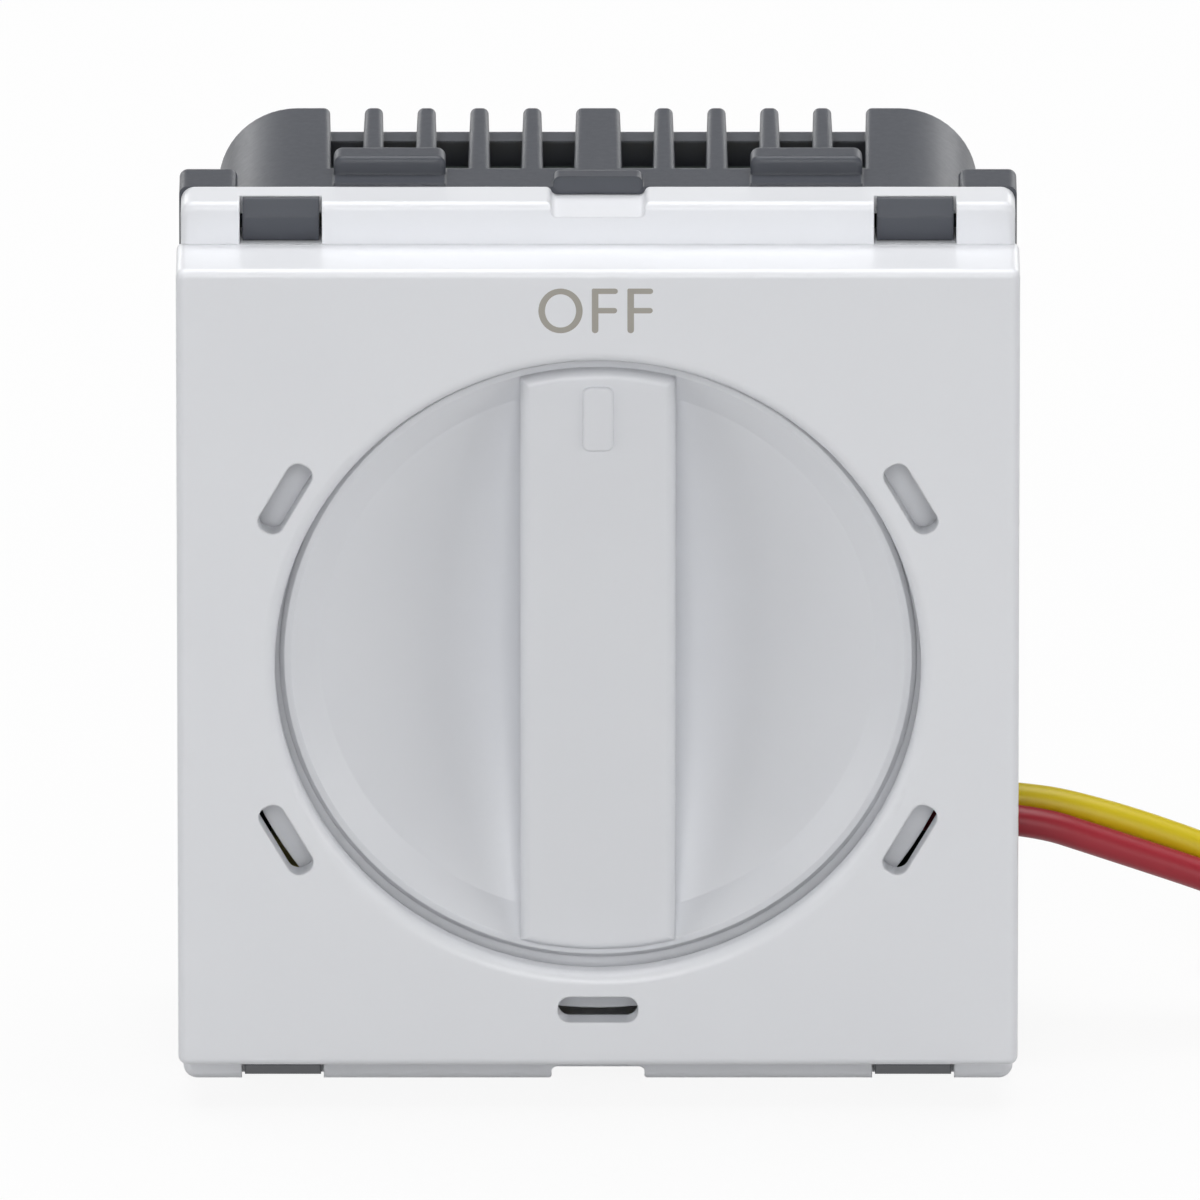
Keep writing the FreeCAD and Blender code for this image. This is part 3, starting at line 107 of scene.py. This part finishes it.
def moulded(name, colour, tint, roughness, spread, grain, grain_size, edge=0.0, specular=0.5):
    """Moulded plastic: slow colour drift, uneven gloss, a fine surface grain and rounded edges."""
    made, nodes, links, shader = material(name)
    slow = noise(nodes, links, DRIFT_SCALE, detail=3.0, roughness=0.55)
    fine = noise(nodes, links, grain_size, detail=2.0, roughness=0.6)
    drifting_colour(nodes, links, shader, slow, colour, tint)
    uneven_gloss(nodes, links, shader, fine, roughness - spread, roughness + spread)
    bump = node(nodes, "ShaderNodeBump", Strength=grain, Distance=GRAIN_HEIGHT)
    links.new(fine, bump.inputs["Height"])
    links.new(bump.outputs["Normal"], shader.inputs["Normal"])
    if edge:
        rounding = node(nodes, "ShaderNodeBevel", samples=EDGE_SAMPLES, Radius=edge * MM)
        links.new(rounding.outputs["Normal"], bump.inputs["Normal"])
    shader.inputs["Specular IOR Level"].default_value = specular
    return made


def metal(name, colour, roughness, grain_size):
    """Bare metal with a fine spread of tone and gloss."""
    made, nodes, links, shader = material(name)
    fine = noise(nodes, links, grain_size, detail=4.0, roughness=0.65)
    drifting_colour(nodes, links, shader, fine, colour, [METAL_SHADE * part for part in colour])
    low, high = roughness * (1 - METAL_SPREAD), roughness * (1 + METAL_SPREAD)
    uneven_gloss(nodes, links, shader, fine, low, high)
    shader.inputs["Metallic"].default_value = 1.0
    return made


COVER = moulded(
    "cover_white", (0.83, 0.842, 0.87), (0.800, 0.812, 0.845),
    roughness=0.30, spread=0.03, grain=0.05, grain_size=2200.0, edge=0.16,
)
KNOB = moulded(
    "knob_white", (0.775, 0.787, 0.815), (0.745, 0.757, 0.790),
    roughness=0.34, spread=0.03, grain=0.05, grain_size=2200.0, edge=0.1,
)
HOUSING = moulded(
    "housing_grey", (0.066, 0.072, 0.087), (0.0594, 0.0648, 0.0783),
    roughness=0.4, spread=0.06, grain=0.14, grain_size=2600.0, edge=0.2,
)
PHENOLIC = moulded(
    "base_moulding", (0.10, 0.075, 0.06), (0.07, 0.055, 0.045),
    roughness=0.55, spread=0.08, grain=0.3, grain_size=1500.0,
)
ACETAL = moulded(
    "rotor_acetal", (0.62, 0.61, 0.56), (0.57, 0.56, 0.50),
    roughness=0.4, spread=0.05, grain=0.1, grain_size=1500.0,
)
# The board's dark solder-mask colour is pushed nearly black. It is partly the board's own colour and
# partly painted shade, so that the board seen through the vent slots reads as the shade there.
BOARD = moulded(
    "board_mask_and_painted_shade", (0.022, 0.035, 0.028), (0.016, 0.024, 0.02),
    roughness=0.45, spread=0.1, grain=0.4, grain_size=900.0,
)
CAPACITOR = moulded(
    "capacitor_case", (0.58, 0.50, 0.16), (0.50, 0.42, 0.12),
    roughness=0.38, spread=0.06, grain=0.2, grain_size=1400.0,
)
RESISTOR = moulded(
    "resistor_lacquer", (0.42, 0.33, 0.20), (0.36, 0.27, 0.15),
    roughness=0.5, spread=0.1, grain=0.4, grain_size=1800.0,
)
GROMMET = moulded(
    "grommet_black", (0.035, 0.036, 0.04), (0.028, 0.029, 0.032),
    roughness=0.6, spread=0.08, grain=0.3, grain_size=2200.0,
)
YELLOW = moulded(
    "lead_yellow", (0.66, 0.53, 0.006), (0.60, 0.46, 0.004),
    roughness=0.42, spread=0.05, grain=0.25, grain_size=1600.0, specular=0.45,
)
RED = moulded(
    "lead_red", (0.37, 0.016, 0.030), (0.31, 0.012, 0.024),
    roughness=0.42, spread=0.05, grain=0.25, grain_size=1600.0, specular=0.45,
)
INK = moulded(
    "print_ink", (0.40, 0.38, 0.34), (0.36, 0.34, 0.30),
    roughness=0.55, spread=0.06, grain=0.2, grain_size=2500.0,
)
BRASS = metal("contact_brass", (0.72, 0.52, 0.22), roughness=0.35, grain_size=900.0)
SPRING = metal("spring_steel", (0.50, 0.50, 0.52), roughness=0.3, grain_size=1200.0)
SCREW = metal("screw_zinc", (0.58, 0.58, 0.56), roughness=0.38, grain_size=1500.0)
TINNED = metal("lead_tinned", (0.66, 0.66, 0.66), roughness=0.4, grain_size=2600.0)

CAD_FINISH = {
    "front_cover": COVER,
    "knob": KNOB,
    "rear_housing": HOUSING,
    "switch_base": PHENOLIC,
    "rotor": ACETAL,
    "wiper_contact": BRASS,
    "detent_spring": SPRING,
    "fixed_contacts": BRASS,
    "common_ring": BRASS,
    "circuit_board": BOARD,
    "capacitor_upper": CAPACITOR,
    "capacitor_lower": CAPACITOR,
    "series_resistor_right": RESISTOR,
    "series_resistor_left": RESISTOR,
    "bleed_resistor_right": RESISTOR,
    "bleed_resistor_left": RESISTOR,
    "board_screws": SCREW,
    "yellow_terminal": BRASS,
    "red_terminal": BRASS,
    "lead_grommet": GROMMET,
    "yellow_lead_tip": TINNED,
    "red_lead_tip": TINNED,
    "yellow_lead": YELLOW,
    "red_lead": RED,
}


def dress(finishes):
    """Give each CAD node its finish."""
    for name, finish in finishes.items():
        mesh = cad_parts[name].data
        for index in range(len(mesh.materials)):
            mesh.materials[index] = finish


# The word OFF, printed above the dial, in millimetres about the dial's axis

STROKE = 0.35
ARM_STROKE = 0.86 * STROKE
CROWN_STROKE = 0.9 * STROKE
LETTER_TOP = 21.53
LETTER_LOW = 19.02
LETTER_MIDDLE = (LETTER_TOP + LETTER_LOW) / 2
LETTER_HALF = (LETTER_TOP - LETTER_LOW) / 2
O_PLACE = -2.0
O_HALF_WIDTH = 1.18
F_MIDDLE_ARM = 20.29
F_CORNER = 0.08
# Steps of the whole O, of a rounded stroke end and of an F's rounded corner.
O_STEPS = 48
END_STEPS = 8
CORNER_STEPS = 3
INK_FRONT = -0.012
INK_BACK = 0.02
# name: left edge, right end of the top arm, right end of the middle arm
F_PLACES = {
    "print_f_left": (-0.33, 1.06, 1.02),
    "print_f_right": (1.57, 2.94, 2.92),
}


def arc(x, z, radius_x, radius_z, first, last, count):
    """Points on an oval from one angle to another, in degrees, with count steps between them."""
    turns = (math.radians(first + (last - first) * step / count) for step in range(count + 1))
    return [(x + radius_x * math.cos(turn), z + radius_z * math.sin(turn)) for turn in turns]


def letter_o(half_width, half_height):
    """A closed oval about the middle of the O."""
    last = 360 - 360 / O_STEPS
    return arc(O_PLACE, LETTER_MIDDLE, half_width, half_height, 0, last, O_STEPS - 1)


def letter_f(left, top_end, middle_end):
    """The outline of an F with rounded stroke ends."""
    stem = STROKE / 2
    arm = ARM_STROKE / 2
    right = left + STROKE
    points = arc(left + stem, LETTER_LOW + stem, stem, stem, 180, 360, END_STEPS)
    points += [(right, F_MIDDLE_ARM - arm)]
    points += arc(middle_end - arm, F_MIDDLE_ARM, arm, arm, -90, 90, END_STEPS)
    points += [(right, F_MIDDLE_ARM + arm), (right, LETTER_TOP - 2 * arm)]
    points += arc(top_end - arm, LETTER_TOP - arm, arm, arm, -90, 90, END_STEPS)
    points += arc(left + F_CORNER, LETTER_TOP - F_CORNER, F_CORNER, F_CORNER, 90, 180, CORNER_STEPS)
    return points


def neighbours(loop):
    """Each point of a closed loop with the one after it."""
    return zip(loop, loop[1:] + loop[:1])


def printed(name, *loops):
    """Ink of a fine thickness on the face: the first loop is the outline, a second one its counter."""
    work = bmesh.new()
    back, front = (
        [[work.verts.new(at(x, depth, z)) for x, z in loop] for loop in loops]
        for depth in (INK_BACK, INK_FRONT)
    )
    for level in (front, back):
        if len(level) == 1:
            work.faces.new(level[0])
            continue
        outline, counter = level
        for (outer, next_outer), (inner, next_inner) in zip(neighbours(outline), neighbours(counter)):
            work.faces.new([outer, next_outer, next_inner, inner])
    for near_loop, far_loop in zip(front, back):
        for (near, next_near), (far, next_far) in zip(neighbours(near_loop), neighbours(far_loop)):
            work.faces.new([near, next_near, next_far, far])
    bmesh.ops.recalc_face_normals(work, faces=work.faces)
    mesh = bpy.data.meshes.new(name)
    work.to_mesh(mesh)
    work.free()
    mesh.materials.append(INK)
    made = bpy.data.objects.new(name, mesh)
    bpy.context.scene.collection.objects.link(made)
    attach(made, "switch_body")


# The two leads. Their routes are in millimetres: X from the housing's right wall, Y from the front of the
# circuit board and Z from the floor.

WALL = 20.4
BOARD_FRONT = 17.0
LEAD_DIAMETER = 1.7
YELLOW_ROUTE = [
    (-2.5, -1.9, 12.5),
    (2.4, -1.9, 12.5),
    (7.2, -1.8, 11.3),
    (12.4, -1.6, 9.35),
    (17.3, -1.45, 7.25),
    (21.3, -1.6, 5.2),
    (28.75, -1.75, 2.0),
    (34.5, 3.85, 0.85),
    (34.5, 11.95, 0.85),
    (28.95, 17.5, 0.85),
    (21.05, 17.5, 0.85),
    (15.5, 11.95, 0.85),
    (15.5, 4.1, 0.85),
]
RED_ROUTE = [
    (-4.0, -3.9, 12.05),
    (2.2, -3.85, 12.05),
    (7.4, -3.5, 10.15),
    (13.0, -3.2, 8.1),
    (17.6, -3.3, 6.25),
    (22.2, -3.5, 4.15),
    (29.7, -3.3, 1.5),
    (36.4, 3.3, 0.85),
    (36.4, 12.7, 0.85),
    (29.7, 19.4, 0.85),
    (20.3, 19.4, 0.85),
    (13.6, 12.7, 0.85),
    (13.25, 4.6, 0.85),
]


def route_point(x, y, z):
    """A point of a lead's route in the row frame, in metres."""
    return Vector((x + WALL, y + BOARD_FRONT + DEPTH_SHIFT, z)) * MM


def lead(name, node_name, route, finish):
    """A round lead along its route, in place of the CAD node."""
    curve = bpy.data.curves.new(name, "CURVE")
    curve.dimensions = "3D"
    curve.resolution_u = 16
    curve.bevel_depth = LEAD_DIAMETER / 2 * MM
    curve.bevel_resolution = 7
    curve.use_fill_caps = True
    spline = curve.splines.new("NURBS")
    spline.points.add(len(route) - 1)
    for point, place in zip(spline.points, route):
        point.co = (*route_point(*place), 1)
    spline.order_u = 3
    spline.use_endpoint_u = True
    curve.materials.append(finish)
    made = bpy.data.objects.new(name, curve)
    bpy.context.scene.collection.objects.link(made)
    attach(made, "switch_body")
    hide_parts(node_name)


# Stage, camera and light. The floor and the lamps are in metres.

FLOOR_HALF = 6.0
# How pale the floor is for the light that it sends up to the object.
FLOOR_BOUNCE = 0.36
FLOOR_ROUGHNESS = 0.95
# What is seen of the floor is plain white, but for the share of a matt white that takes the shadow.
FLOOR_GLOW_SHARE = 0.90
FLOOR_MATT = 0.85

# The photo's frame: its width on the front face and its middle about the dial's axis, in millimetres.
FRAME_WIDTH = 64.17
FRAME_MIDDLE = (0.107, 0, 3.96)
CAMERA_DISTANCE = 2309.0
CAMERA_TILT = math.radians(19.0)
SENSOR_WIDTH = 36
CLIP_END = 50

# name: place, height over the middle of the base that it looks at, width and height, watts
LAMPS = {
    "overhead": ((0, 0.19, 0.9), 0.02, (1.0, 0.7), 8.4),
    "front": ((0, -1.32, 0.48), 0.025, (0.8, 0.7), 8.1),
    "left_side": ((-1.25, -0.6, 0.45), 0.025, (0.7, 0.9), 5.3),
    "right_side": ((1.25, -0.6, 0.45), 0.025, (0.7, 0.9), 5.3),
    "back_strip": ((0, 0.9, 0.12), 0.03, (0.9, 0.15), 1.1),
    "back_left": ((-0.28, 0.9, 0.08), 0.03, (0.12, 0.25), 0.08),
    "back_right": ((0.28, 0.9, 0.08), 0.03, (0.12, 0.25), 0.08),
}

# The world as a light, and as it is seen: white at the horizon and grey from a little way up.
WORLD_LIGHT = 0.2
WORLD_HORIZON = 1.0
WORLD_ABOVE = 0.4
WORLD_SWEEP = 0.35


def seen_directly(nodes, links):
    """1 for what the camera, gloss and glass look at, and 0 for the light that reaches the object."""
    path = node(nodes, "ShaderNodeLightPath")
    seen = path.outputs["Is Camera Ray"]
    for ray in ("Is Glossy Ray", "Is Transmission Ray"):
        either = node(nodes, "ShaderNodeMath", operation="MAXIMUM")
        links.new(seen, either.inputs[0])
        links.new(path.outputs[ray], either.inputs[1])
        seen = either.outputs[0]
    return seen


def stage():
    """The white floor, which takes a faint shadow."""
    made, nodes, links, bounced = material("floor_white")
    bounced.inputs["Base Color"].default_value = (FLOOR_BOUNCE, FLOOR_BOUNCE, FLOOR_BOUNCE, 1)
    bounced.inputs["Roughness"].default_value = FLOOR_ROUGHNESS
    matt = node(nodes, "ShaderNodeBsdfDiffuse")
    matt.inputs["Color"].default_value = (FLOOR_MATT, FLOOR_MATT, FLOOR_MATT, 1)
    glow = node(nodes, "ShaderNodeEmission", Strength=1.0)
    shown = node(nodes, "ShaderNodeMixShader", Fac=FLOOR_GLOW_SHARE)
    links.new(matt.outputs[0], shown.inputs[1])
    links.new(glow.outputs[0], shown.inputs[2])
    blend = node(nodes, "ShaderNodeMixShader")
    links.new(seen_directly(nodes, links), blend.inputs["Fac"])
    links.new(bounced.outputs[0], blend.inputs[1])
    links.new(shown.outputs[0], blend.inputs[2])
    links.new(blend.outputs[0], nodes["Material Output"].inputs["Surface"])
    mesh = bpy.data.meshes.new("floor")
    corners = [(-1, -1), (1, -1), (1, 1), (-1, 1)]
    mesh.from_pydata([(x * FLOOR_HALF, y * FLOOR_HALF, 0) for x, y in corners], [], [(0, 1, 2, 3)])
    mesh.materials.append(made)
    floor = bpy.data.objects.new("floor", mesh)
    bpy.context.scene.collection.objects.link(floor)


def camera():
    """The photo's view: its frame lies across the front face, seen from a little above."""
    data = bpy.data.cameras.new("photo_camera")
    data.sensor_width = SENSOR_WIDTH
    data.lens = SENSOR_WIDTH * CAMERA_DISTANCE / FRAME_WIDTH
    data.clip_end = CLIP_END
    made = bpy.data.objects.new("photo_camera", data)
    sight = Vector((0, -math.cos(CAMERA_TILT), math.sin(CAMERA_TILT)))
    made.location = at(*FRAME_MIDDLE) + sight * CAMERA_DISTANCE * MM
    made.rotation_euler = (math.radians(90) - CAMERA_TILT, 0, 0)
    bpy.context.scene.collection.objects.link(made)
    bpy.context.scene.camera = made


def area_light(name, place, target_height, size, power):
    """A rectangular lamp that looks at a point over the middle of the base."""
    data = bpy.data.lights.new(name, "AREA")
    data.shape = "RECTANGLE"
    data.size, data.size_y = size
    data.energy = power
    lamp = bpy.data.objects.new(name, data)
    lamp.location = place
    sight = Vector((0, 0, target_height)) - Vector(place)
    lamp.rotation_euler = sight.to_track_quat("-Z", "Y").to_euler()
    bpy.context.scene.collection.objects.link(lamp)


def backdrop():
    """A world that lights softly and evenly, and is seen as a white sweep."""
    world = bpy.data.worlds.new("world")
    world.use_nodes = True
    bpy.context.scene.world = world
    nodes, links = world.node_tree.nodes, world.node_tree.links
    place = node(nodes, "ShaderNodeTexCoord")
    apart = node(nodes, "ShaderNodeSeparateXYZ")
    links.new(place.outputs["Generated"], apart.inputs[0])
    sweep = node(nodes, "ShaderNodeMapRange", interpolation_type="SMOOTHSTEP")
    sweep.inputs["From Max"].default_value = WORLD_SWEEP
    sweep.inputs["To Min"].default_value = WORLD_HORIZON
    sweep.inputs["To Max"].default_value = WORLD_ABOVE
    links.new(apart.outputs["Z"], sweep.inputs["Value"])
    shade = node(nodes, "ShaderNodeMix", data_type="FLOAT")
    shade.inputs["A"].default_value = WORLD_LIGHT
    links.new(seen_directly(nodes, links), shade.inputs["Factor"])
    links.new(sweep.outputs["Result"], shade.inputs["B"])
    links.new(shade.outputs["Result"], nodes["Background"].inputs["Strength"])


dress(CAD_FINISH)

printed(
    "print_o",
    letter_o(O_HALF_WIDTH, LETTER_HALF),
    letter_o(O_HALF_WIDTH - STROKE, LETTER_HALF - CROWN_STROKE),
)
for letter_name, letter_place in F_PLACES.items():
    printed(letter_name, letter_f(*letter_place))

lead(
    "yellow_flying_lead", "yellow_lead",
    YELLOW_ROUTE, YELLOW,
)
lead(
    "red_flying_lead", "red_lead",
    RED_ROUTE, RED,
)

stage()
camera()
for lamp_name, lamp_values in LAMPS.items():
    area_light(lamp_name, *lamp_values)
backdrop()
bpy.context.scene.view_settings.view_transform = "Standard"
